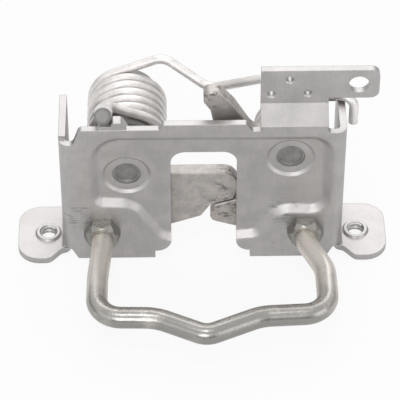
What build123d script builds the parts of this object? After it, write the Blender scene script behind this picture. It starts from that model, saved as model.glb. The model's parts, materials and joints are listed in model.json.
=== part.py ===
from build123d import *
import math
import os

os.makedirs("parts", exist_ok=True)

# Car hood latch, in millimetres. X is right, Y is back, Z is up.
# The origin is midway between the two ear holes, on the underside of the ears.

# Sheet and overall sizes
SHEET = 3.0
Y_FRONT = -13.0
Y_REAR = 17.5
HALF_W = 60.0
FLANGE_X = HALF_W - SHEET
BEND_IN = 1.5
BEND_OUT = BEND_IN + SHEET
FOOT = 0.4
LIP_TOP = 73.4
LEFT_TOP = 68.0
RIGHT_TOP = 72.0
SLOT_LEFT = -13.4
SLOT_RIGHT = 14.5
SLOT_TOP = 59.5
RECESS = 3.0
SOFT = 2.4
BOSS_SINK = 0.5
BOSS_TAPER = 42
POCKET_TAPER = 48
HEEL_R = 3.5
BLANK_TOP = 78.0
Y_RECESS = Y_FRONT + RECESS
Y_SEAT = Y_RECESS + SHEET

# Clearances: a running fit, a push fit, a bare touch, and how far a cut starts outside the sheet
RUN = 0.05
FIT = 0.03
TOUCH = 0.02
OVERCUT = 1.0

# Ears and their tapped collars
HOLE_X = HALF_W + 7.0
EAR_END = HALF_W + 20.0
TAP_R = 3.4
TAP_MOUTH = 0.5
COLLAR_R = 5.7
COLLAR_H = 1.1

# Pivots
CLAW_X = -32.0
CLAW_Z = 46.5
PAWL_X = 37.0
PAWL_Z = 55.4
PIN_R = 6.0
BUSH_R = 8.0
SEAT_R = 10.4
SEAT_DEEP = 1.1
WASHER_R = 11.4
WASHER_T = 0.85
REAR_WASHER_R = 9.8
REAR_WASHER_T = 1.0
PIN_SUNK = 1.4
PIN_TAIL = 4.0
DISH_R = 4.6
DISH_DEEP = 0.5
GROOVE_IN = 1.0
GROOVE_DEEP = 0.8
GROOVE_WIDE = 1.3
CLIP_R = 9.0
SPOOL_R = 9.6
LEVER_T = 5.5
Y_LEVER = Y_SEAT + 1.0
Y_LEVER_END = Y_LEVER + LEVER_T
Y_SPOOL = Y_LEVER_END + 2 * RUN + REAR_WASHER_T + TOUCH

# Levers: bosses round the bushes, the eye for the cable and the holes for the ends of the springs
CLAW_BOSS_R = 14.4
PAWL_BOSS_R = 12.6
LEVER_EDGE = 0.4
EYE = (49.4, 58.0)
EYE_R = 4.2
EYE_HOLE_R = 2.2
WIRE_PLAY = 0.3
CLAW_HOLE = (-38.7, 35.7)
PAWL_HOLE_Z = 30.0

# Springs
LIFT_WIRE = 2.0
LIFT_R = 15.2
LIFT_PITCH = 4.6
LIFT_TURNS = 6
LIFT_Y = 12.4
LIFT_PLAY = 0.6
PAWL_WIRE = 1.5
PAWL_COIL_R = 13.4
PAWL_PITCH = 3.5
PAWL_COIL_Y = 4.2
PAWL_PLAY = 0.9
PAWL_SPOOL_LONG = 12.0
CLAW_WIRE = 0.9
CLAW_COIL_R = 11.2
CLAW_PITCH = 2.0
CLAW_COIL_Y = 2.4

# Safety bow
BOW_R = 4.5
BOW_Z = 17.0
BOW_LEFT = -43.0
BOW_RIGHT = 44.0
BOW_GAP = 0.1
SPIGOT_R = 3.4
SPIGOT_OVER = 0.3
HEAD_R = 5.8
HEAD_T = 2.4
NUT_AF = 13.6
NUT_T = 6.0
NUT_R = NUT_AF / math.sqrt(3)
NUT_CROWN = 1.9

# Cable tab: joggled part, then a tongue to the right
TAB_MID = HALF_W - 8.0
TAB_WIDTH = 28.0
TAB_REACH = 20.6
TAB_TALL = 14.8
TAB_BACK = 7.0
TAB_LEFT = TAB_MID - TAB_WIDTH
TAB_END = TAB_MID + TAB_REACH
TAB_FOOT = LIP_TOP + 2.4
TAB_LOW = TAB_FOOT + TAB_BACK + 2.6
TAB_TOP = TAB_LOW + TAB_TALL
TAB_SINK = 2.4
TAB_BEND_R = 2.2
TAB_CORNER_R = 3.6
CABLE_R = 4.3
CABLE_IN = 8.4
CABLE_UP = 7.1
RIVET_R = 1.25
RIVET_MOUTH = 0.65
RIVET_PLACES = ((11.8, 9.7), (4.4, 2.0), (19.3, 2.4))
JOGGLE = SHEET * math.tan(math.radians(22.5))

# Lug on the lip
LUG_IN = 0.4
LUG_DEEP = 4.6


def at_y(y):
    """Plane of the front view at a depth."""
    return Plane.XZ.offset(-y)


def ring(r_out, r_in, x, z, y, length):
    """Tube along Y."""
    with BuildPart() as made:
        with BuildSketch(at_y(y)):
            with Locations((x, z)):
                Circle(r_out)
                Circle(r_in, mode=Mode.SUBTRACT)
        extrude(amount=-length)
    return made


def outline(corners):
    """Closed face through (x, z, radius) corners, each rounded by a tangent arc."""
    runs = []
    arcs = []
    for i, (x, z, radius) in enumerate(corners):
        here = Vector(x, z)
        back = (Vector(*corners[i - 1][:2]) - here).normalized()
        ahead = (Vector(*corners[(i + 1) % len(corners)][:2]) - here).normalized()
        half = math.radians(back.get_angle(ahead)) / 2
        start = here + back * (radius / math.tan(half))
        end = here + ahead * (radius / math.tan(half))
        if radius:
            bulge = here + (back + ahead).normalized() * radius * (1 / math.sin(half) - 1)
            arcs.append(ThreePointArc(start, bulge, end))
        runs.append((start, end))
    lines = [Line(runs[i - 1][1], runs[i][0]) for i in range(len(runs))]
    return make_face(lines + arcs)


def bent_line(corners, cut):
    """Straight runs joined by tangent arcs that start the cut length before each corner."""
    at = Vector(corners[0])
    for before, here, after in zip(corners, corners[1:], corners[2:]):
        corner = Vector(here)
        back = (Vector(before) - corner).normalized()
        ahead = (Vector(after) - corner).normalized()
        half = math.radians(back.get_angle(ahead)) / 2
        reach = cut / math.cos(half) - cut * math.tan(half)
        start = corner + back * cut
        end = corner + ahead * cut
        Line(at, start)
        ThreePointArc(start, corner + (back + ahead).normalized() * reach, end)
        at = end
    Line(at, corners[-1])


def torsion_spring(x, z, y, radius, wire_r, pitch, start, turns, lead, arm, cut):
    """A round wire: bent lead, helical coil about an axis along Y, bent arm."""
    ray = math.radians(start)
    turn_frame = Plane(origin=(x, y, z), x_dir=(math.sin(ray), 0, math.cos(ray)), z_dir=(0, 1, 0))
    coil = turn_frame * Helix(pitch=pitch, height=pitch * turns, radius=radius)
    with BuildPart() as made:
        with BuildSketch(Plane(origin=coil @ 0, z_dir=coil % 0)):
            Circle(wire_r)
        sweep(path=coil, is_frenet=True)
        with BuildLine() as lead_line:
            bent_line([coil @ 0, coil @ 0 - (coil % 0) * lead[0]] + lead[1:], cut)
        with BuildSketch(Plane(origin=coil @ 0, z_dir=coil % 0)):
            Circle(wire_r)
        sweep(path=lead_line.line)
        with BuildLine() as arm_line:
            bent_line([coil @ 1, coil @ 1 + (coil % 1) * arm[0]] + arm[1:], cut)
        with BuildSketch(Plane(origin=coil @ 1, z_dir=coil % 1)):
            Circle(wire_r)
        sweep(path=arm_line.line)
    return made


# Outline of the pressed recess that carries both pivots, at the front of the sheet
RECESS_FACE = outline([
    (13 - HALF_W, LIP_TOP - 3, 13), (HALF_W - 5.6, LIP_TOP - 3.6, 9), (HALF_W - 5.6, 25.2, 9), (33, 26.4, 9),
    (24, 11.6, 7), (0, 9, 20), (-18, 10.2, 8), (-30, 30, 9), (13 - HALF_W, 31, 5),
])

# Slot for the striker, open at the foot of the plate, with a step beside its mouth
SLOT_FACE = outline([
    (SLOT_LEFT, SLOT_TOP, 6), (SLOT_RIGHT, SLOT_TOP, 6), (SLOT_RIGHT, FOOT + 4, 5.6),
    (SLOT_RIGHT + 6, FOOT + 4, 0), (SLOT_RIGHT + 6, -5, 0), (SLOT_LEFT - 7, -5, 0),
    (SLOT_LEFT - 7, FOOT + 4, 0), (SLOT_LEFT, FOOT + 4, 6.4),
])

# Front plate as seen from the front, without its slot
PLATE_FACE = outline([
    (-HALF_W - 1, LEFT_TOP - 1.5, 0), (6.2 - HALF_W, LEFT_TOP - 1.5, 2.2), (8.8 - HALF_W, LIP_TOP + 1.3, 2.2),
    (-18, LIP_TOP + 1.3, 1.2), (-16.2, LIP_TOP + 4, 1.2), (TAB_LEFT - 5.8, LIP_TOP + 4, 1.2),
    (TAB_LEFT - 3.4, LIP_TOP, 1.2), (TAB_LEFT, LIP_TOP, 0), (TAB_LEFT, TAB_FOOT + 0.1, 0),
    (TAB_MID, TAB_FOOT + 0.1, 0), (TAB_MID, RIGHT_TOP, 1.6), (HALF_W + 1, RIGHT_TOP, 0), (HALF_W + 1, 7, 0),
    (HALF_W - 3.8, 5.8, 1.2), (HALF_W - 6.4, FOOT, 0.8), (6.4 - HALF_W, FOOT, 0.8), (3.8 - HALF_W, 5.8, 1.2),
    (-HALF_W - 1, 7, 0),
])

# Lug on the lip under the end of the large spring
LUG_FACE = outline([
    (-43.4, LIP_TOP - 0.4, 0), (-43.2, LIP_TOP + 2.8, 0.8), (-38.2, LIP_TOP + 2.8, 0.6),
    (-37.2, LIP_TOP + 5, 0.8), (-33.4, LIP_TOP + 5, 2), (-30.6, LIP_TOP - 0.4, 0),
])

# Mounting ears, left and right, seen from above
EAR_FACES = [
    outline([
        (side * FLANGE_X, 16.5, 0), (side * EAR_END, 16.5, 9.5), (side * EAR_END, -15.5, 9.5),
        (side * (HALF_W + 6), -15.5, 4), (side * (HALF_W + 0.8), -9.4, 3), (side * FLANGE_X, -9.4, 0)])
    for side in (-1, 1)
]

# One pressed sheet: front plate, flanges, ears and cable tab
with BuildPart() as latch_plate:
    # channel of front plate and two flanges
    with BuildSketch(Plane.XY):
        with Locations((0, (Y_FRONT + Y_REAR) / 2)):
            Rectangle(2 * HALF_W, Y_REAR - Y_FRONT)
        with Locations((0, (Y_FRONT + SHEET + Y_REAR + OVERCUT) / 2)):
            Rectangle(2 * FLANGE_X, Y_REAR + OVERCUT - Y_FRONT - SHEET, mode=Mode.SUBTRACT)
    extrude(amount=BLANK_TOP)
    uprights = latch_plate.edges().filter_by(Axis.Z)
    fillet(uprights.filter_by(lambda e: e.center().Y < Y_FRONT + 0.1), radius=BEND_OUT)
    uprights = latch_plate.edges().filter_by(Axis.Z)
    inner = uprights.filter_by(lambda e: abs(e.center().Y - Y_FRONT - SHEET) < 0.1)
    fillet(inner.filter_by(lambda e: abs(abs(e.center().X) - FLANGE_X) < 0.1), radius=BEND_IN)
    # recess pressed back from the front: a boss behind, a pocket in front, soft at both rims
    with BuildSketch(at_y(Y_FRONT + SHEET - BOSS_SINK)):
        add(RECESS_FACE)
    extrude(amount=-RECESS - BOSS_SINK, taper=BOSS_TAPER)
    with BuildSketch(at_y(Y_FRONT)):
        add(RECESS_FACE)
    extrude(amount=-RECESS, taper=POCKET_TAPER, mode=Mode.SUBTRACT)
    facing = latch_plate.faces().filter_by(Axis.Y)
    front = facing.filter_by(lambda f: abs(f.center().Y - Y_FRONT) < 0.01)[0]
    fillet(front.inner_wires()[0].edges(), radius=SOFT)
    facing = latch_plate.faces().filter_by(Axis.Y)
    floor = facing.filter_by(lambda f: abs(f.center().Y - Y_RECESS) < 0.01 and f.normal_at().Y < 0)[0]
    fillet(floor.outer_wire().edges(), radius=SOFT)
    # outline of the front plate, cut in the plate's own depth only
    with BuildSketch(at_y(Y_FRONT - OVERCUT)):
        Rectangle(2 * EAR_END, 2 * (BLANK_TOP + OVERCUT))
        add(PLATE_FACE, mode=Mode.SUBTRACT)
    extrude(amount=-OVERCUT - BEND_OUT, mode=Mode.SUBTRACT)
    # slot through the pressed-back part
    with BuildSketch(at_y(Y_FRONT - OVERCUT)):
        add(SLOT_FACE)
    extrude(amount=-RECESS - SHEET - 2 * OVERCUT, mode=Mode.SUBTRACT)
    # tops of the flanges
    y_bend = Y_FRONT + BEND_OUT
    y_past = Y_REAR + OVERCUT
    for side, top in ((-1, LEFT_TOP), (1, RIGHT_TOP)):
        with BuildSketch(Plane.YZ.offset(side * (HALF_W + OVERCUT))):
            with Locations(((y_bend + y_past) / 2, top + BLANK_TOP / 2)):
                Rectangle(y_past - y_bend, BLANK_TOP)
        extrude(amount=-side * (SHEET + 2 * OVERCUT), mode=Mode.SUBTRACT)
    # mounting ears bent outwards at the foot of each flange
    for side, ear in zip((-1, 1), EAR_FACES):
        with BuildSketch(Plane.XY):
            add(ear)
        extrude(amount=SHEET)
        with BuildSketch(Plane.XY.offset(SHEET)):
            with Locations((side * HOLE_X, 0)):
                Circle(COLLAR_R)
        extrude(amount=COLLAR_H, taper=32)
        with BuildSketch(Plane.XY):
            with Locations((side * HOLE_X, 0)):
                Circle(TAP_R)
        extrude(amount=SHEET + COLLAR_H, mode=Mode.SUBTRACT)
        with BuildSketch(Plane.XY.offset(SHEET + COLLAR_H)):
            with Locations((side * HOLE_X, 0)):
                Circle(TAP_R + TAP_MOUTH)
        extrude(amount=-TAP_MOUTH, taper=45, mode=Mode.SUBTRACT)
    feet = latch_plate.edges().filter_by(Axis.Y)
    heel = feet.filter_by(lambda e: abs(e.center().Z) < 0.1 and abs(abs(e.center().X) - FLANGE_X) < 0.1)
    fillet(heel, radius=HEEL_R)
    feet = latch_plate.edges().filter_by(Axis.Y)
    crook = feet.filter_by(
        lambda e: abs(e.center().Z - SHEET) < 0.1 and abs(abs(e.center().X) - HALF_W) < 0.1)
    fillet(crook, radius=BEND_IN)
    # cable tab, joggled back from the plate's top edge
    with BuildSketch(Plane.YZ.offset(TAB_LEFT)):
        with BuildLine():
            Polyline(
                (Y_FRONT, LIP_TOP - TAB_SINK), (Y_FRONT, TAB_FOOT), (Y_FRONT + TAB_BACK, TAB_FOOT + TAB_BACK),
                (Y_FRONT + TAB_BACK, TAB_TOP), (Y_FRONT + TAB_BACK + SHEET, TAB_TOP),
                (Y_FRONT + TAB_BACK + SHEET, TAB_FOOT + TAB_BACK - JOGGLE),
                (Y_FRONT + SHEET, TAB_FOOT - JOGGLE), (Y_FRONT + SHEET, LIP_TOP - TAB_SINK), close=True)
        make_face()
        bends = vertices().filter_by(lambda v: TAB_FOOT - 2 < v.Z < TAB_FOOT + TAB_BACK + 1)
        fillet(bends, radius=TAB_BEND_R)
    extrude(amount=TAB_MID - TAB_LEFT)
    with BuildSketch(at_y(Y_FRONT + TAB_BACK)):
        with BuildLine():
            Polyline(
                (TAB_MID - 3, TAB_LOW), (TAB_END, TAB_LOW), (TAB_END, TAB_TOP), (TAB_MID - 3, TAB_TOP),
                close=True)
        make_face()
        fillet(vertices().filter_by(lambda v: v.X > TAB_END - 1), radius=TAB_CORNER_R)
    extrude(amount=-SHEET)
    rivets = [(TAB_LEFT + x, TAB_LOW + z) for x, z in RIVET_PLACES]
    with BuildSketch(at_y(Y_FRONT + TAB_BACK)):
        with Locations((TAB_END - CABLE_IN, TAB_LOW + CABLE_UP)):
            Circle(CABLE_R)
        with Locations(rivets):
            Circle(RIVET_R)
    extrude(amount=-SHEET, mode=Mode.SUBTRACT)
    with BuildSketch(at_y(Y_FRONT + TAB_BACK)):
        with Locations(rivets):
            Circle(RIVET_R + RIVET_MOUTH)
    extrude(amount=-RIVET_MOUTH, taper=45, mode=Mode.SUBTRACT)
    # small lug on the lip that carries the end of the spring
    with BuildSketch(at_y(Y_FRONT + LUG_IN)):
        add(LUG_FACE)
    extrude(amount=-LUG_DEEP)
    # sunk seats and holes for the pivot pins
    for x, z in ((CLAW_X, CLAW_Z), (PAWL_X, PAWL_Z)):
        with BuildSketch(at_y(Y_RECESS)):
            with Locations((x, z)):
                Circle(SEAT_R)
        extrude(amount=-SEAT_DEEP, taper=50, mode=Mode.SUBTRACT)
        with BuildSketch(at_y(Y_RECESS - OVERCUT)):
            with Locations((x, z)):
                Circle(PIN_R + FIT)
        extrude(amount=-SHEET - 2 * OVERCUT, mode=Mode.SUBTRACT)
    # holes for the spigots of the bow
    with BuildSketch(at_y(Y_FRONT - OVERCUT)):
        with Locations((BOW_LEFT, BOW_Z), (BOW_RIGHT, BOW_Z)):
            Circle(SPIGOT_R + FIT)
    extrude(amount=-SHEET - 2 * OVERCUT, mode=Mode.SUBTRACT)
latch_plate.part.label = "latch_plate"
export_step(latch_plate.part, "parts/latch_plate.step")

# Rotary catch with its hook across the slot and a short kicker above it
CLAW_FACE = outline([
    (-19.5, 43.6, 1.5), (15, 43.6, 6.5), (15.1, 33.4, 3), (13.2, 28, 0.8), (3.6, 25.1, 1.2),
    (-0.6, 18.2, 1.6), (-16.5, 12.3, 7), (-41, 36.4, 0), (CLAW_X, CLAW_Z, 0), (-37, 58.8, 0),
    (-31, 62.4, 3), (-1.6, 62.4, 2.2), (-4.4, 56.2, 1.2), (-19.5, 56.2, 5.5),
])
with BuildPart() as claw:
    with BuildSketch(at_y(Y_LEVER)):
        add(CLAW_FACE)
        with Locations((CLAW_X, CLAW_Z)):
            Circle(CLAW_BOSS_R)
            Circle(BUSH_R + FIT, mode=Mode.SUBTRACT)
        with Locations(CLAW_HOLE):
            Circle(CLAW_WIRE + WIRE_PLAY, mode=Mode.SUBTRACT)
    extrude(amount=-LEVER_T)
    rims = claw.edges().filter_by(lambda e: abs(e.center().Y - Y_LEVER) < 0.01 and e.center().X > -19)
    chamfer(rims, length=LEVER_EDGE)
claw.part.label = "claw"
export_step(claw.part, "parts/claw.step")

# Locking lever: nose under the hook, release arm upwards, cable arm to the right
PAWL_FACE = outline([
    (5.2, 24.72, 1), (18.2, 28.9, 3.4), (18.2, 60.8, 9), (4.6, 71.6, 8), (3.4, 79, 5), (0.5, 83.4, 3),
    (0.5, 88.7, 3), (6.9, 88.9, 2.6), (12.9, 81.8, 14), (21.5, 66.4, 8), (PAWL_X, 66.4, 0), (47, 48.4, 0),
    (25.5, 15.6, 6), (20.2, 10, 3), (2.6, 15.9, 3.6),
])
with BuildPart() as pawl:
    with BuildSketch(at_y(Y_LEVER)):
        add(PAWL_FACE)
        with Locations((PAWL_X, PAWL_Z)):
            Circle(PAWL_BOSS_R)
        with Locations(EYE):
            Circle(EYE_R)
            Circle(EYE_HOLE_R, mode=Mode.SUBTRACT)
        with Locations((PAWL_X, PAWL_Z)):
            Circle(BUSH_R + FIT, mode=Mode.SUBTRACT)
        with Locations((PAWL_X - PAWL_COIL_R, PAWL_HOLE_Z)):
            Circle(PAWL_WIRE + WIRE_PLAY, mode=Mode.SUBTRACT)
    extrude(amount=-LEVER_T)
    rims = pawl.edges().filter_by(lambda e: abs(e.center().Y - Y_LEVER) < 0.01 and e.center().X < 20)
    chamfer(rims, length=LEVER_EDGE)
pawl.part.label = "pawl"
export_step(pawl.part, "parts/pawl.step")

# Pins, bushes, washers, spools and rings on the two pivots
LIFT_END = LIFT_Y + LIFT_PITCH * LIFT_TURNS + 2 * LIFT_WIRE
PAWL_END = Y_LEVER_END + PAWL_SPOOL_LONG
STACKS = (
    ("claw", "lift_spool", CLAW_X, CLAW_Z, LIFT_Y - 3.2, LIFT_END, LIFT_R - LIFT_WIRE - LIFT_PLAY),
    ("pawl", "pawl_spool", PAWL_X, PAWL_Z, Y_LEVER_END + 2.0, PAWL_END, PAWL_COIL_R - PAWL_WIRE - PAWL_PLAY),
)
for name, spool_name, x, z, y_wide, y_end, spool_r in STACKS:
    y_head = Y_RECESS + PIN_SUNK
    y_groove = y_end + GROOVE_IN
    with BuildPart() as pin:
        with BuildSketch(at_y(y_head)):
            with Locations((x, z)):
                Circle(PIN_R)
        extrude(amount=-(y_end + PIN_TAIL - y_head))
        chamfer(pin.edges().sort_by(Axis.Y)[-1], length=0.8)
        with BuildSketch(at_y(y_head)):
            with Locations((x, z)):
                Circle(DISH_R)
        extrude(amount=-DISH_DEEP, taper=20, mode=Mode.SUBTRACT)
        groove = ring(PIN_R + OVERCUT, PIN_R - GROOVE_DEEP, x, z, y_groove, GROOVE_WIDE)
        add(groove.part, mode=Mode.SUBTRACT)
    pin.part.label = name + "_pin"
    export_step(pin.part, "parts/" + name + "_pin.step")
    bush = ring(BUSH_R, PIN_R + RUN, x, z, Y_LEVER - RUN, LEVER_T + 2 * RUN)
    bush.part.label = name + "_bush"
    export_step(bush.part, "parts/" + name + "_bush.step")
    front = ring(WASHER_R, PIN_R + RUN, x, z, Y_SEAT + TOUCH, WASHER_T)
    front.part.label = name + "_washer_front"
    export_step(front.part, "parts/" + name + "_washer_front.step")
    rear = ring(REAR_WASHER_R, PIN_R + RUN, x, z, Y_LEVER_END + 2 * RUN, REAR_WASHER_T)
    rear.part.label = name + "_washer_rear"
    export_step(rear.part, "parts/" + name + "_washer_rear.step")
    with BuildPart() as spool:
        for y_start, radius in ((Y_SPOOL, SPOOL_R), (y_wide, spool_r)):
            with BuildSketch(at_y(y_start)):
                with Locations((x, z)):
                    Circle(radius)
                    Circle(PIN_R + FIT, mode=Mode.SUBTRACT)
            extrude(amount=-(y_end - y_start))
        chamfer(spool.edges().sort_by(Axis.Y)[-1], length=0.5)
    spool.part.label = spool_name
    export_step(spool.part, "parts/" + spool_name + ".step")
    clip = ring(CLIP_R, PIN_R - GROOVE_DEEP + RUN, x, z, y_groove + RUN, GROOVE_WIDE - 2 * RUN)
    clip.part.label = name + "_pin_ring"
    export_step(clip.part, "parts/" + name + "_pin_ring.step")

# Large spring: lead bent forward onto the lip, coil round the claw pin, arm across to the right flange
lift_spring = torsion_spring(
    CLAW_X, CLAW_Z, LIFT_Y, LIFT_R, LIFT_WIRE, LIFT_PITCH, start=24, turns=LIFT_TURNS - 44 / 360,
    lead=[15.0, (-41, Y_FRONT + 3, LIP_TOP + 6.7)],
    arm=[22.6, (3.6, 31.4, 58.6), (27.0, 21.0, 73.0), (HALF_W + 3.8, 5.6, RIGHT_TOP + 2.3),
         (HALF_W + 3.8, 5.6, RIGHT_TOP - 10.4)],
    cut=4.2)
lift_spring.part.label = "lift_spring"
export_step(lift_spring.part, "parts/lift_spring.step")

# Return spring of the pawl, with one end through the pawl and one against the flange
pawl_spring = torsion_spring(
    PAWL_X, PAWL_Z, PAWL_COIL_Y, PAWL_COIL_R, PAWL_WIRE, PAWL_PITCH, start=-90, turns=2.25,
    lead=[PAWL_Z - PAWL_HOLE_Z, (PAWL_X - PAWL_COIL_R, -5.0, PAWL_HOLE_Z)],
    arm=[FLANGE_X - PAWL_X - 0.4],
    cut=2.6)
pawl_spring.part.label = "pawl_spring"
export_step(pawl_spring.part, "parts/pawl_spring.step")

# Light spring that turns the claw open, with one end through the claw and one against the flange
claw_spring = torsion_spring(
    CLAW_X, CLAW_Z, CLAW_COIL_Y, CLAW_COIL_R, CLAW_WIRE, CLAW_PITCH, start=-120, turns=2 + 300 / 360,
    lead=[6.0, (CLAW_HOLE[0], -5.2, CLAW_HOLE[1])],
    arm=[FLANGE_X + CLAW_X - 0.3],
    cut=1.6)
claw_spring.part.label = "claw_spring"
export_step(claw_spring.part, "parts/claw_spring.step")

# Safety bow: bent rod with spigots through the plate, headed behind it
with BuildPart() as safety_bow:
    with BuildLine() as bow_path:
        FilletPolyline(
            (BOW_LEFT, Y_FRONT - BOW_GAP, BOW_Z), (BOW_LEFT, -24, BOW_Z), (-44.6, -42, BOW_Z),
            (-44.8, -64, BOW_Z), (-20, -64.6, BOW_Z), (0.8, -74.8, BOW_Z), (23.5, -64.4, BOW_Z),
            (51.6, -63, BOW_Z), (51.4, -38, BOW_Z), (BOW_RIGHT, -21.6, BOW_Z),
            (BOW_RIGHT, Y_FRONT - BOW_GAP, BOW_Z),
            radius=[20, 20, 10.5, 22, 8, 22, 10.5, 18, 8])
    with BuildSketch(at_y(Y_FRONT - BOW_GAP)):
        with Locations((BOW_LEFT, BOW_Z)):
            Circle(BOW_R)
    sweep(path=bow_path.line)
    for x in (BOW_LEFT, BOW_RIGHT):
        with BuildSketch(at_y(Y_FRONT - BOW_GAP)):
            with Locations((x, BOW_Z)):
                Circle(SPIGOT_R)
        extrude(amount=-SHEET - SPIGOT_OVER)
        with BuildSketch(at_y(Y_FRONT + SHEET + TOUCH)):
            with Locations((x, BOW_Z)):
                Circle(HEAD_R)
        extrude(amount=-HEAD_T, taper=18)
safety_bow.part.label = "safety_bow"
export_step(safety_bow.part, "parts/safety_bow.step")

# Hex collars of the bow against the plate
for name, x in (("bow_nut_left", BOW_LEFT), ("bow_nut_right", BOW_RIGHT)):
    with BuildPart() as nut:
        with BuildSketch(at_y(Y_FRONT - TOUCH)):
            with Locations((x, BOW_Z)):
                RegularPolygon(radius=NUT_R, side_count=6)
                Circle(BOW_R + FIT, mode=Mode.SUBTRACT)
        extrude(amount=NUT_T)
        with BuildSketch(at_y(Y_FRONT - TOUCH)):
            with Locations((x, BOW_Z)):
                Circle(NUT_R + NUT_CROWN)
        extrude(amount=NUT_T, taper=30, mode=Mode.INTERSECT)
    nut.part.label = name
    export_step(nut.part, "parts/" + name + ".step")
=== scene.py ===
import json
import math

import bmesh
import bpy
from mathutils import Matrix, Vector


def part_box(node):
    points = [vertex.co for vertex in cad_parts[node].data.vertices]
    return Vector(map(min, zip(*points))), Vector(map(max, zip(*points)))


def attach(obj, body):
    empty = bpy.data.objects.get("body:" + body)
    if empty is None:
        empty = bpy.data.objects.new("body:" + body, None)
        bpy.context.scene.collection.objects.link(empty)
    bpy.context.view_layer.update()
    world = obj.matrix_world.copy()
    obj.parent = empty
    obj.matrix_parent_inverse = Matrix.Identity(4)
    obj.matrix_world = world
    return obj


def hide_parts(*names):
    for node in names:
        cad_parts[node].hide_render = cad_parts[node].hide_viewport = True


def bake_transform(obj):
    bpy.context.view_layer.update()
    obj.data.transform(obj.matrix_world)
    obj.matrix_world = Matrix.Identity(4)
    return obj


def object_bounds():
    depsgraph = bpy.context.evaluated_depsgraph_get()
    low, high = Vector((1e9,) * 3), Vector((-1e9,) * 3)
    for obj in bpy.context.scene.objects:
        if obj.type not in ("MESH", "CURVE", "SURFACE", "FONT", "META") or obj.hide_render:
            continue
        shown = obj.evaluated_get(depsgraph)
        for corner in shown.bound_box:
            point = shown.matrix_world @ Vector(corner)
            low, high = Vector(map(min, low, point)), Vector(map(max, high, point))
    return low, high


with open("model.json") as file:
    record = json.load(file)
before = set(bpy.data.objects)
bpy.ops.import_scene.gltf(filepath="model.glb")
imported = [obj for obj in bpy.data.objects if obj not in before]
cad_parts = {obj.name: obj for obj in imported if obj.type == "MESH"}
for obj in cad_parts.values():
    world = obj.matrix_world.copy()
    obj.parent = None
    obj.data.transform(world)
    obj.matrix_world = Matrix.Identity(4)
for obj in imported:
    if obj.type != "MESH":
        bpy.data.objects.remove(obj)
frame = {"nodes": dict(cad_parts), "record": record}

bl_info = {
    "name": "Hood Latch Dressing",
    "version": (1, 0, 0),
    "blender": (4, 5, 0),
    "location": "View3D > Sidebar > Latch",
    "description": "Finishes the parts of a car hood latch and sets them up for a studio view",
    "category": "Object",
}

NODES = frame["nodes"]
CAD_LOW, CAD_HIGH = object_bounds()
MM = 0.001
EARS = next(m for m in frame["record"]["mounts"] if m["name"] == "ear_holes")["dims"]
COLLARS = ("bow_nut_left", "bow_nut_right")

WHITE = (1, 1, 1, 1)
WELD_REACH = 0.002 * MM
CRISP_ANGLE = math.radians(32)
ROUND_STEPS = 40
RIDGE_TO_DEPTH = 1.4

# Thick end of the lift spring's tail: share of its radius, and distance back from its tip
SLEEVE_PROFILE = (
    (0.5, 0), (0.86, 0), (0.96, 0.2 * MM), (1, 0.7 * MM), (1, 12 * MM), (0.9, 13 * MM), (0.62, 13.6 * MM))

# Softboxes: place and size in metres, power in watts
SOFTBOXES = {
    "key": ((-0.2, -1.0, 0.52), 0.45, 2.6),
    "top": ((-0.1, -0.3, 1.05), 0.3, 1.3),
    "right": ((0.8, -0.6, 0.25), 0.7, 2.0),
    "left": ((-0.8, -0.6, 0.25), 0.7, 0.9),
    "back": ((0.05, 0.75, 0.75), 0.9, 3.6),
}


def middle(node):
    """Centre of a CAD node's box."""
    low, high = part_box(node)
    return (low + high) / 2


class LatchFinish(bpy.types.PropertyGroup):
    """Colours of the plated, turned and moulded surfaces."""

    plate: bpy.props.FloatVectorProperty(
        name="Plate", description="Zinc plating of the pressed plate", subtype="COLOR",
        default=(0.47, 0.455, 0.45))
    lever: bpy.props.FloatVectorProperty(
        name="Levers", description="Dull zinc of the claw and the pawl", subtype="COLOR",
        default=(0.48, 0.45, 0.43))
    # The stain colour also paints the shade on the pawl's nose.
    stain: bpy.props.FloatVectorProperty(
        name="Stains", description="Old grease and rust on the levers", subtype="COLOR",
        default=(0.09, 0.07, 0.05))
    wire: bpy.props.FloatVectorProperty(
        name="Springs", description="Zinc plating of the spring wire", subtype="COLOR",
        default=(0.82, 0.795, 0.78))
    bow: bpy.props.FloatVectorProperty(
        name="Bow", description="Nickel plating of the bow", subtype="COLOR",
        default=(0.33, 0.32, 0.305))
    # Warm dulled plating on the bow's legs, painted much lighter than the plating as a painted sheen.
    rubbed_and_lit: bpy.props.FloatVectorProperty(
        name="Rubbed rod", description="Bow where the plating is rubbed, near the plate",
        subtype="COLOR", default=(0.78, 0.735, 0.68))
    collar: bpy.props.FloatVectorProperty(
        name="Collars", description="Nickel plating of the hex collars", subtype="COLOR",
        default=(0.33, 0.32, 0.295))
    pin: bpy.props.FloatVectorProperty(
        name="Pins", description="Turned steel of the pins, washers and rings", subtype="COLOR",
        default=(0.29, 0.285, 0.28))
    bush: bpy.props.FloatVectorProperty(
        name="Bushes", description="Bronze of the bearing bushes", subtype="COLOR",
        default=(0.5, 0.33, 0.14))
    spool: bpy.props.FloatVectorProperty(
        name="Spools", description="Moulded plastic of the spring spools", subtype="COLOR",
        default=(0.36, 0.35, 0.34))


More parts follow.
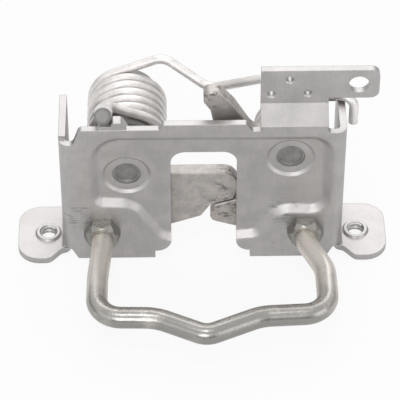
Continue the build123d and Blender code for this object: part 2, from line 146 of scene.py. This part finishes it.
class LatchDetail(bpy.types.PropertyGroup):
    """Sizes of the small forms that the dressing adds."""

    rounding: bpy.props.FloatProperty(
        name="Edge rounding", description="Radius of the broken edges", unit="LENGTH", default=0.4 * MM)
    claw_coil_front: bpy.props.FloatProperty(
        name="Claw coil", description="Where the coil of the claw's spring starts along Y",
        unit="LENGTH", default=2.6 * MM)
    pawl_coil_front: bpy.props.FloatProperty(
        name="Pawl coil", description="Where the coil of the pawl's spring starts along Y",
        unit="LENGTH", default=4.5 * MM)
    coil_rear: bpy.props.FloatProperty(
        name="Coil rear", description="From a return spring's rear to where its twist starts",
        unit="LENGTH", default=1.6 * MM)
    tail_end: bpy.props.FloatVectorProperty(
        name="Tail end", description="Cut end of the lift spring's tail", subtype="TRANSLATION",
        unit="LENGTH", default=(-41 * MM, -10 * MM, 80.1 * MM))
    tail_way: bpy.props.FloatVectorProperty(
        name="Tail way", description="Direction in which the tail of the lift spring ends",
        subtype="DIRECTION", default=(0, -0.845, 0.535))
    tail_bare: bpy.props.FloatProperty(
        name="Bare tail", description="From the tail's end to the centre of its bare round", unit="LENGTH",
        default=4 * MM)
    sleeve_radius: bpy.props.FloatProperty(
        name="Sleeve radius", description="Radius of the thick end of the lift spring's tail",
        unit="LENGTH", default=3.7 * MM)
    sleeve_over: bpy.props.FloatProperty(
        name="Sleeve overhang", description="How far the thick end stands past the wire", unit="LENGTH",
        default=0.6 * MM)
    # Start of the warm stretch with its painted sheen.
    rub_and_light_start: bpy.props.FloatProperty(
        name="Rub start", description="From the front of the bow to its rubbed stretch", unit="LENGTH",
        default=22 * MM)
    thread_pitch: bpy.props.FloatProperty(
        name="Thread pitch", description="Pitch of the thread in the ear holes", unit="LENGTH",
        default=1.0 * MM)
    thread_depth: bpy.props.FloatProperty(
        name="Thread depth", description="How far the thread stands into the ear holes", unit="LENGTH",
        default=0.35 * MM)
    thread_start: bpy.props.FloatProperty(
        name="Thread start", description="Height of the first turn above the ear's underside",
        unit="LENGTH", default=0.55 * MM)
    thread_height: bpy.props.FloatProperty(
        name="Thread height", description="Length of the thread along the hole", unit="LENGTH",
        default=2.9 * MM)


class LatchStudio(bpy.types.PropertyGroup):
    """Camera, floor, backdrop and lamps."""

    aim: bpy.props.FloatVectorProperty(
        name="Aim", description="Point that the camera looks at", subtype="TRANSLATION", unit="LENGTH",
        default=(-1.1 * MM, -13.0 * MM, 34.6 * MM))
    elevation: bpy.props.FloatProperty(
        name="Elevation", description="Camera's angle above the horizon", subtype="ANGLE",
        default=math.radians(44))
    yaw: bpy.props.FloatProperty(
        name="Yaw", description="Camera's turn to the left of the front", subtype="ANGLE",
        default=math.radians(0.9))
    distance: bpy.props.FloatProperty(
        name="Distance", description="From the camera to its aim", unit="LENGTH", default=1.0)
    lens: bpy.props.FloatProperty(
        name="Lens", description="Focal length in millimetres", default=212.4)
    floor: bpy.props.FloatVectorProperty(
        name="Floor", description="Colour of the floor", subtype="COLOR", default=(0.9, 0.9, 0.9))
    floor_reach: bpy.props.FloatProperty(
        name="Floor reach", description="Half the width of the floor", unit="LENGTH", default=3.0)
    floor_gap: bpy.props.FloatProperty(
        name="Floor gap", description="From the floor up to the latch", unit="LENGTH", default=0.1 * MM)
    floor_glow: bpy.props.FloatProperty(
        name="Floor glow", description="How white the floor is to the camera", default=0.88)
    floor_mirrored: bpy.props.FloatProperty(
        name="Mirrored floor", description="Share of that white which metal mirrors", default=0.45)
    skirting: bpy.props.FloatVectorProperty(
        name="Skirting", description="Backdrop near the horizon", subtype="COLOR",
        default=(0.38, 0.38, 0.38))
    skirting_top: bpy.props.FloatProperty(
        name="Skirting top", description="Height at which the backdrop starts to turn white", default=0.12)
    white_from: bpy.props.FloatProperty(
        name="White from", description="Height from which the backdrop is white", default=0.5)
    ambient: bpy.props.FloatProperty(
        name="Ambient", description="Light from all around", default=0.55)


class Value:
    """A socket on which arithmetic adds Math nodes."""

    def __init__(self, works, socket):
        self.works = works
        self.socket = socket

    def _math(self, operation, a, b):
        return self.works.node("ShaderNodeMath", {"operation": operation}, {0: a, 1: b})

    def __add__(self, other):
        return self._math("ADD", self, other)

    __radd__ = __add__

    def __sub__(self, other):
        return self._math("SUBTRACT", self, other)

    def __rsub__(self, other):
        return self._math("SUBTRACT", other, self)

    def __mul__(self, other):
        return self._math("MULTIPLY", self, other)


class Works:
    """Adds nodes to one tree."""

    def __init__(self, tree):
        self.tree = tree

    def node(self, kind, settings=None, sockets=None, output=0):
        """Adds a node, sets it up, fills its sockets with values or links and returns one output."""
        made = self.tree.nodes.new(kind)
        for name, value in (settings or {}).items():
            setattr(made, name, value)
        for name, value in (sockets or {}).items():
            self.feed(made.inputs[name], value)
        return Value(self, made.outputs[output]) if made.outputs else made

    def feed(self, socket, value):
        """Links a value to a socket, or sets the socket to it."""
        if isinstance(value, Value):
            self.tree.links.new(value.socket, socket)
        else:
            socket.default_value = value

    def between(self, value, low, high):
        """0 below low, 1 above high, smooth between."""
        return self.node(
            "ShaderNodeMapRange", {"interpolation_type": "SMOOTHSTEP"},
            {"Value": value, "From Min": low, "From Max": high})

    def blend(self, factor, first, second):
        """Mix of two colours."""
        return self.node("ShaderNodeMix", {"data_type": "RGBA"}, {0: factor, 6: first, 7: second}, 2)

    def seen_or_mirrored(self, mirrored=1.0):
        """1 on rays from the camera, and a share of that on mirrored or transmitted ones."""
        seen, glossy, through = [
            self.node("ShaderNodeLightPath", output=name)
            for name in ("Is Camera Ray", "Is Glossy Ray", "Is Transmission Ray")]
        return self.node("ShaderNodeClamp", None, {"Value": seen + (glossy + through) * mirrored})


class Finish(Works):
    """A material and the nodes that make it."""

    def __init__(self, name, **constants):
        self.material = bpy.data.materials.new(name)
        self.material.use_nodes = True
        super().__init__(self.material.node_tree)
        self.shader = self.tree.nodes["Principled BSDF"]
        for socket, value in constants.items():
            self.shader.inputs[socket.replace("_", " ")].default_value = value
        self.place = self.node("ShaderNodeTexCoord", output="Object")

    def stretched(self, scale, centre=(0, 0, 0)):
        """Object coordinates about a centre, scaled on each axis."""
        moved = self.node("ShaderNodeVectorMath", {"operation": "SUBTRACT"}, {0: self.place, 1: centre})
        return self.node("ShaderNodeVectorMath", {"operation": "MULTIPLY"}, {0: moved, 1: scale})

    def near(self, point, inner, outer):
        """1 within the inner distance of a point, 0 past the outer one."""
        away = self.node(
            "ShaderNodeVectorMath", {"operation": "DISTANCE"}, {0: self.place, 1: point}, "Value")
        return 1 - self.between(away, inner, outer)

    def noise(self, scale, detail=3.0, rough=0.55, place=None):
        """Noise from 0 to 1 with grains of about 1 / scale metres."""
        return self.node(
            "ShaderNodeTexNoise", None,
            {"Vector": place or self.place, "Scale": scale, "Detail": detail, "Roughness": rough})

    def surface(self, colour, roughness, height, depth):
        """Links what varies over the surface, with broken edges under the bump."""
        self.feed(self.shader.inputs["Base Color"], colour)
        self.feed(self.shader.inputs["Roughness"], roughness)
        rounding = bpy.context.scene.latch_detail.rounding
        edge = self.node("ShaderNodeBevel", {"samples": 6}, {"Radius": rounding})
        bump = self.node(
            "ShaderNodeBump", None, {"Height": height, "Distance": depth, "Strength": 1.0, "Normal": edge})
        self.feed(self.shader.inputs["Normal"], bump)
        return self.material


def shade(colour, factor):
    """A colour made lighter or darker, with its alpha."""
    return (*[min(1.0, c * factor) for c in colour], 1.0)


def rolled_zinc(name, colour, marks):
    """Satin zinc on pressed sheet: faint streaks, clouds, dull specks, and spanner scuffs at the marks."""
    skin = Finish(name, Metallic=0.95)
    streak = skin.noise(1.0, 4.0, 0.6, skin.stretched((1400, 1400, 130)))
    cloud = skin.noise(120, 4.0)
    grain = skin.noise(2600, 2.0)
    speck = skin.between(skin.noise(900, 2.0), 0.68, 0.76)
    smear = skin.between(skin.noise(1.0, 5.0, 0.7, skin.stretched((170, 170, 700))), 0.53, 0.6)
    scuff = smear * sum(skin.near(mark, 4 * MM, 10 * MM) for mark in marks)
    tone = skin.blend(
        skin.between(cloud * 0.7 + streak * 0.3, 0.36, 0.66), shade(colour, 0.92), shade(colour, 1.07))
    tone = skin.blend(speck * 0.4 + scuff * 0.65, tone, shade(colour, 0.45))
    rough = 0.33 + cloud * 0.13 + grain * 0.07 + speck * 0.1
    return skin.surface(tone, rough, streak * 0.4 + grain * 0.6 - scuff * 0.5, 0.03 * MM)


def mottled_zinc(name, colour, stain, marks):
    """Dull zinc on punched levers: blotches, pits, a coarse skin, greasy stains at the hook and thumb
    marks, and painted shade at the nose mark.
    """
    skin = Finish(name, Metallic=0.82)
    blotch = skin.noise(210, 5.0, 0.65)
    pit = skin.between(skin.noise(640, 3.0, 0.6), 0.62, 0.74)
    grain = skin.noise(1700, 3.0)
    smear = skin.between(skin.noise(1.0, 5.0, 0.7, skin.stretched((260, 260, 430))), 0.5, 0.66)
    # Greasy stains at the hook and thumb marks; at the nose mark the dark patch is painted shade.
    grease_and_shade = smear * sum(skin.near(mark, 3 * MM, 16 * MM) for mark in marks)
    tone = skin.blend(skin.between(blotch, 0.36, 0.64), shade(colour, 0.86), shade(colour, 1.1))
    tone = skin.blend(pit * 0.5, tone, shade(colour, 0.5))
    tone = skin.blend(grease_and_shade * 0.85, tone, shade(stain, 1.0))
    rough = 0.42 + blotch * 0.16 + pit * 0.12
    return skin.surface(tone, rough, blotch * 0.5 + grain * 0.4 - pit * 0.35, 0.1 * MM)


def turned_steel(name, colour, centre):
    """Turned steel: fine rings about an axis along Y."""
    pitch = 0.42 * MM
    skin = Finish(name, Metallic=1.0)
    flat = skin.stretched((1, 0, 1), centre)
    radius = skin.node("ShaderNodeVectorMath", {"operation": "LENGTH"}, {0: flat}, "Value")
    ring = skin.node("ShaderNodeMath", {"operation": "SINE"}, {0: radius * (2 * math.pi / pitch)})
    cloud = skin.noise(260, 4.0)
    tone = skin.blend(skin.between(cloud, 0.35, 0.65), shade(colour, 0.85), shade(colour, 1.12))
    rough = 0.34 + cloud * 0.16
    return skin.surface(tone, rough, ring * 0.4 + cloud * 0.6, 0.03 * MM)


def plated_wire(name, colour, bare, cut_end):
    """Drawn wire with thin zinc: fine grain, rubbed patches, and bare steel at a cut end."""
    inner, outer = 5.0 * MM, 5.6 * MM
    skin = Finish(name, Metallic=0.7)
    rub = skin.noise(190, 4.0, 0.6)
    grain = skin.noise(2200, 2.0)
    tone = skin.blend(skin.between(rub, 0.38, 0.66), shade(colour, 0.88), shade(colour, 1.06))
    tone = skin.blend(skin.near(cut_end, inner, outer), tone, shade(bare, 0.7))
    rough = 0.33 + rub * 0.16 + grain * 0.06
    return skin.surface(tone, rough, rub * 0.4 + grain * 0.6, 0.03 * MM)


def satin_nickel(name, colour, rubbed_and_lit, reach):
    """Satin nickel with a sparkling grain and small pits; behind the reach along Y it turns warm and dull,
    and is painted much lighter: a painted sheen.
    """
    ragged, fade = 30 * MM, 40 * MM
    skin = Finish(name)
    stain = skin.noise(95, 4.0, 0.6)
    spark = skin.noise(1300, 3.0, 0.65)
    pit = skin.between(spark, 0.56, 0.7)
    depth = skin.node("ShaderNodeSeparateXYZ", None, {"Vector": skin.place}, "Y")
    # Warm, dull stretch near the plate; its light colour is partly painted sheen.
    worn_and_lit = skin.between(depth + stain * ragged, reach, reach + fade)
    tone = skin.blend(worn_and_lit, shade(colour, 1.0), shade(rubbed_and_lit, 1.0))
    tone = skin.blend(skin.between(stain, 0.5, 0.7) * 0.35, tone, shade(rubbed_and_lit, 0.8))
    tone = skin.blend(pit * 0.4, tone, shade(colour, 0.5))
    skin.feed(skin.shader.inputs["Metallic"], 1 - worn_and_lit * 0.15)
    rough = 0.14 + stain * 0.1 + spark * 0.1 + worn_and_lit * 0.15
    return skin.surface(tone, rough, spark * 0.8 + stain * 0.2, 0.09 * MM)


def bearing_bronze(name, colour):
    """Plain bearing bronze with oil-dark pores."""
    skin = Finish(name, Metallic=1.0)
    pore = skin.between(skin.noise(1500, 2.0), 0.58, 0.7)
    tone = skin.blend(pore * 0.7, shade(colour, 1.05), shade(colour, 0.5))
    return skin.surface(tone, 0.38 + pore * 0.2, 1 - pore, 0.02 * MM)


def moulded_plastic(name, colour):
    """Grey moulded plastic with a spark-eroded grain."""
    skin = Finish(name)
    grain = skin.noise(1300, 3.0)
    tone = skin.blend(grain, shade(colour, 0.85), shade(colour, 1.15))
    return skin.surface(tone, 0.42 + grain * 0.2, grain, 0.04 * MM)


def finish_edges(piece):
    """Smooth curves and crisp edges."""
    piece.data.polygons.foreach_set("use_smooth", [True] * len(piece.data.polygons))
    piece.modifiers.new("Joined triangles", "WELD").merge_threshold = WELD_REACH
    piece.modifiers.new("Crisp edges", "EDGE_SPLIT").split_angle = CRISP_ANGLE


def dress(node, material):
    """Gives a CAD node its material and its edges."""
    part = NODES[node]
    part.data.materials.clear()
    part.data.materials.append(material)
    finish_edges(part)


class LATCH_OT_plate(bpy.types.Operator):
    """Satin zinc on the pressed plate"""

    bl_idname = "latch.plate"
    bl_label = "Pressed plate"

    def execute(self, context):
        beside = Vector((-9, 5, 8)) * MM
        marks = [middle(collar) + beside for collar in COLLARS]
        dress("latch_plate", rolled_zinc("zinc_sheet", context.scene.latch_finish.plate, marks))
        return {"FINISHED"}


class LATCH_OT_levers(bpy.types.Operator):
    """Mottled zinc on the claw and the pawl"""

    bl_idname = "latch.levers"
    bl_label = "Claw and pawl"

    def execute(self, context):
        finish = context.scene.latch_finish
        low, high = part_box("claw")
        hook = Vector((high.x, low.y, middle("claw").z))
        low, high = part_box("pawl")
        # The nose mark is painted shade: a dark patch where the claw's hook keeps light off the pawl's
        # nose.
        nose = low + Vector((9, 0, 12)) * MM
        thumb = Vector((low.x, low.y, high.z))
        skin = mottled_zinc("lever_zinc", finish.lever, finish.stain, (hook, nose, thumb))
        for lever in ("claw", "pawl"):
            dress(lever, skin)
        return {"FINISHED"}


class LATCH_OT_pivots(bpy.types.Operator):
    """Turned steel, bronze and plastic on what turns about the two pins"""

    bl_idname = "latch.pivots"
    bl_label = "Pivots"

    def execute(self, context):
        finish = context.scene.latch_finish
        bronze = bearing_bronze("bush_bronze", finish.bush)
        plastic = moulded_plastic("spool_plastic", finish.spool)
        for lever, spool in (("claw", "lift_spool"), ("pawl", "pawl_spool")):
            steel = turned_steel(lever + "_pin_steel", finish.pin, middle(lever + "_pin"))
            for end in ("_pin", "_washer_front", "_washer_rear", "_pin_ring"):
                dress(lever + end, steel)
            dress(lever + "_bush", bronze)
            dress(spool, plastic)
        return {"FINISHED"}


def twisting(spring, lever):
    """Stands in for a spring with a copy of its evaluated mesh, and hides the spring."""
    shown = NODES[spring].evaluated_get(bpy.context.evaluated_depsgraph_get())
    coil = bpy.data.objects.new(lever + "_return_coil", bpy.data.meshes.new_from_object(shown))
    bpy.context.scene.collection.objects.link(coil)
    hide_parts(spring)
    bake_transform(coil)


class LATCH_OT_springs(bpy.types.Operator):
    """Zinc-plated wire on the three springs, two of which are swapped for copies"""

    bl_idname = "latch.springs"
    bl_label = "Springs"

    def execute(self, context):
        finish = context.scene.latch_finish
        detail = context.scene.latch_detail
        cut_end = Vector(detail.tail_end) + Vector(detail.tail_way).normalized() * detail.tail_bare
        skin = plated_wire("spring_zinc", finish.wire, finish.pin, cut_end)
        for spring in ("lift_spring", "pawl_spring", "claw_spring"):
            dress(spring, skin)
        twisting("claw_spring", "claw")
        twisting("pawl_spring", "pawl")
        return {"FINISHED"}


def turned(name, profile, tip, way):
    """A closed turned form: rings of radius and distance back from the tip, along a line."""
    turn = (-way).to_track_quat("Z", "Y").to_matrix()
    mesh = bmesh.new()
    rings = []
    for radius, back in profile:
        angles = [2 * math.pi * step / ROUND_STEPS for step in range(ROUND_STEPS)]
        rings.append([
            mesh.verts.new(tip + turn @ Vector((radius * math.cos(a), radius * math.sin(a), back)))
            for a in angles])
    for near, far in zip(rings, rings[1:]):
        for step in range(ROUND_STEPS):
            mesh.faces.new((near[step - 1], near[step], far[step], far[step - 1]))
    mesh.faces.new(rings[0])
    mesh.faces.new(rings[-1])
    bmesh.ops.recalc_face_normals(mesh, faces=mesh.faces)
    data = bpy.data.meshes.new(name)
    mesh.to_mesh(data)
    mesh.free()
    made = bpy.data.objects.new(name, data)
    bpy.context.scene.collection.objects.link(made)
    return made


class LATCH_OT_sleeve(bpy.types.Operator):
    """Thick end of the lift spring's tail"""

    bl_idname = "latch.sleeve"
    bl_label = "Tail sleeve"

    def execute(self, context):
        detail = context.scene.latch_detail
        way = Vector(detail.tail_way).normalized()
        tip = Vector(detail.tail_end) + way * detail.sleeve_over
        profile = [(share * detail.sleeve_radius, back) for share, back in SLEEVE_PROFILE]
        sleeve = turned("tail_sleeve", profile, tip, way)
        sleeve.data.materials.append(bpy.data.materials["spring_zinc"])
        finish_edges(sleeve)
        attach(sleeve, "frame")
        return {"FINISHED"}


class LATCH_OT_bow(bpy.types.Operator):
    """Satin nickel on the safety bow and its hex collars"""

    bl_idname = "latch.bow"
    bl_label = "Safety bow"

    def execute(self, context):
        finish = context.scene.latch_finish
        low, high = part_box("safety_bow")
        rub_and_light_start = low.y + context.scene.latch_detail.rub_and_light_start
        dress("safety_bow", satin_nickel("bow_nickel", finish.bow, finish.rubbed_and_lit, rub_and_light_start))
        skin = satin_nickel("collar_nickel", finish.collar, finish.collar, high.y)
        for collar in COLLARS:
            dress(collar, skin)
        return {"FINISHED"}


def thread_tree(material):
    """Node tree that winds a ridge up each ear hole."""
    tree = bpy.data.node_groups.new("Ear threads", "GeometryNodeTree")
    tree.is_modifier = True
    face = tree.interface
    face.new_socket("Geometry", in_out="INPUT", socket_type="NodeSocketGeometry")
    for name in ("Spacing", "Radius", "Ridge", "Start", "Height", "Turns"):
        face.new_socket(name, in_out="INPUT", socket_type="NodeSocketFloat")
    face.new_socket("Geometry", in_out="OUTPUT", socket_type="NodeSocketGeometry")
    works = Works(tree)

    def size(name):
        return works.node("NodeGroupInput", output=name)

    winding = works.node("GeometryNodeCurveSpiral", None, {
        "Resolution": ROUND_STEPS, "Rotations": size("Turns"), "Start Radius": size("Radius"),
        "End Radius": size("Radius"), "Height": size("Height")})
    section = works.node(
        "GeometryNodeCurvePrimitiveCircle", None, {"Resolution": 4, "Radius": size("Ridge")})
    ridge = works.node(
        "GeometryNodeCurveToMesh", None, {"Curve": winding, "Profile Curve": section, "Fill Caps": True})
    first = works.node("ShaderNodeCombineXYZ", None, {"X": size("Spacing") * -0.5, "Z": size("Start")})
    step = works.node("ShaderNodeCombineXYZ", None, {"X": size("Spacing")})
    holes = works.node("GeometryNodeMeshLine", None, {"Count": 2, "Start Location": first, "Offset": step})
    ridges = works.node("GeometryNodeInstanceOnPoints", None, {"Points": holes, "Instance": ridge})
    solid = works.node("GeometryNodeRealizeInstances", None, {"Geometry": ridges})
    dressed = works.node("GeometryNodeSetMaterial", None, {"Geometry": solid, "Material": material})
    works.node("NodeGroupOutput", None, {"Geometry": dressed})
    return tree


class LATCH_OT_threads(bpy.types.Operator):
    """Cut threads in the two ear holes"""

    bl_idname = "latch.threads"
    bl_label = "Ear threads"

    def execute(self, context):
        detail = context.scene.latch_detail
        thread = bpy.data.objects.new("ear_threads", bpy.data.meshes.new("ear_threads"))
        context.scene.collection.objects.link(thread)
        winder = thread.modifiers.new("Winding", "NODES")
        tree = thread_tree(bpy.data.materials["zinc_sheet"])
        winder.node_group = tree
        ridge = detail.thread_depth * RIDGE_TO_DEPTH
        wanted = {
            "Spacing": EARS["spacing_x_mm"] * MM,
            "Radius": EARS["hole_r_mm"] * MM + ridge - detail.thread_depth,
            "Ridge": ridge,
            "Start": detail.thread_start,
            "Height": detail.thread_height,
            "Turns": detail.thread_height / detail.thread_pitch,
        }
        for item in tree.interface.items_tree:
            if item.in_out == "INPUT" and item.name in wanted:
                winder[item.identifier] = wanted[item.name]
        shown = thread.evaluated_get(context.evaluated_depsgraph_get())
        wound = bpy.data.meshes.new_from_object(shown)
        thread.modifiers.remove(winder)
        thread.data = wound
        wound.polygons.foreach_set("use_smooth", [False] * len(wound.polygons))
        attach(thread, "frame")
        return {"FINISHED"}


def softbox(name, place, aim, size, power):
    """A square area lamp that looks at a point."""
    lamp = bpy.data.lights.new(name, "AREA")
    lamp.size = size
    lamp.energy = power
    made = bpy.data.objects.new(name, lamp)
    made.location = place
    made.rotation_euler = (Vector(aim) - Vector(place)).to_track_quat("-Z", "Y").to_euler()
    bpy.context.scene.collection.objects.link(made)


def pale_floor(studio):
    """Matt floor that is near white to the camera and keeps the shadow."""
    skin = Finish("pale_floor", Roughness=0.9, Base_Color=(*studio.floor, 1.0))
    matt = Value(skin, skin.shader.outputs[0])
    glow = skin.node("ShaderNodeEmission", None, {"Color": WHITE, "Strength": 1.0})
    share = skin.seen_or_mirrored(studio.floor_mirrored) * studio.floor_glow
    mixed = skin.node("ShaderNodeMixShader", None, {0: share, 1: matt, 2: glow})
    skin.feed(skin.tree.nodes["Material Output"].inputs["Surface"], mixed)
    return skin.material


def studio_world(studio):
    """Even light all around, with a backdrop that goes from grey at the horizon to white overhead."""
    world = bpy.data.worlds.new("studio")
    world.use_nodes = True
    sky = Works(world.node_tree)
    way = sky.node("ShaderNodeTexCoord", output="Generated")
    height = sky.node("ShaderNodeSeparateXYZ", None, {"Vector": way}, "Z")
    raised = sky.between(height, studio.skirting_top, studio.white_from)
    shown = sky.blend(raised, (*studio.skirting, 1.0), WHITE)
    even = sky.node("ShaderNodeBackground", None, {"Color": WHITE, "Strength": studio.ambient})
    backdrop = sky.node("ShaderNodeBackground", None, {"Color": shown, "Strength": 1.0})
    choice = sky.node("ShaderNodeMixShader", None, {0: sky.seen_or_mirrored(), 1: even, 2: backdrop})
    sky.feed(world.node_tree.nodes["World Output"].inputs["Surface"], choice)
    return world


class LATCH_OT_studio(bpy.types.Operator):
    """Camera, floor, lamps and world"""

    bl_idname = "latch.studio"
    bl_label = "Studio"

    def execute(self, context):
        scene = context.scene
        studio = scene.latch_studio
        aim = Vector(studio.aim)
        along = math.cos(studio.elevation)
        back = Vector((
            -math.sin(studio.yaw) * along, -math.cos(studio.yaw) * along, math.sin(studio.elevation)))
        camera = bpy.data.objects.new("camera", bpy.data.cameras.new("camera"))
        camera.data.lens = studio.lens
        camera.data.clip_start = 0.05
        camera.location = aim + back * studio.distance
        camera.rotation_euler = back.to_track_quat("Z", "Y").to_euler()
        scene.collection.objects.link(camera)
        scene.camera = camera

        floor_mesh = bpy.data.meshes.new("floor")
        reach = studio.floor_reach
        level = CAD_LOW.z - studio.floor_gap
        corners = [(x * reach, y * reach, level) for x, y in ((-1, -1), (1, -1), (1, 1), (-1, 1))]
        floor_mesh.from_pydata(corners, [], [(0, 1, 2, 3)])
        floor_mesh.materials.append(pale_floor(studio))
        floor = bpy.data.objects.new("floor", floor_mesh)
        scene.collection.objects.link(floor)

        for name, (place, size, power) in SOFTBOXES.items():
            softbox(name, place, aim, size, power)
        scene.world = studio_world(studio)
        scene.view_settings.view_transform = "Standard"
        return {"FINISHED"}


class LATCH_PT_dressing(bpy.types.Panel):
    """Dressing steps and their settings"""

    bl_idname = "LATCH_PT_dressing"
    bl_label = "Hood latch"
    bl_space_type = "VIEW_3D"
    bl_region_type = "UI"
    bl_category = "Latch"

    def draw(self, context):
        for step in STEPS:
            self.layout.operator(step.bl_idname)
        for group in GROUPS:
            box = self.layout.box()
            settings = getattr(context.scene, group)
            for name in settings.__annotations__:
                box.prop(settings, name)


STEPS = (
    LATCH_OT_plate, LATCH_OT_levers, LATCH_OT_pivots, LATCH_OT_springs, LATCH_OT_sleeve, LATCH_OT_bow,
    LATCH_OT_threads, LATCH_OT_studio)
GROUPS = {"latch_finish": LatchFinish, "latch_detail": LatchDetail, "latch_studio": LatchStudio}


def register():
    for made in (*GROUPS.values(), *STEPS, LATCH_PT_dressing):
        bpy.utils.register_class(made)
    for name, group in GROUPS.items():
        setattr(bpy.types.Scene, name, bpy.props.PointerProperty(type=group))


def unregister():
    for name in GROUPS:
        delattr(bpy.types.Scene, name)
    for made in (LATCH_PT_dressing, *reversed(STEPS), *GROUPS.values()):
        bpy.utils.unregister_class(made)


def main():
    register()
    bpy.ops.latch.plate()
    bpy.ops.latch.levers()
    bpy.ops.latch.pivots()
    bpy.ops.latch.springs()
    bpy.ops.latch.sleeve()
    bpy.ops.latch.bow()
    bpy.ops.latch.threads()
    bpy.ops.latch.studio()


if __name__ == "__main__":
    main()
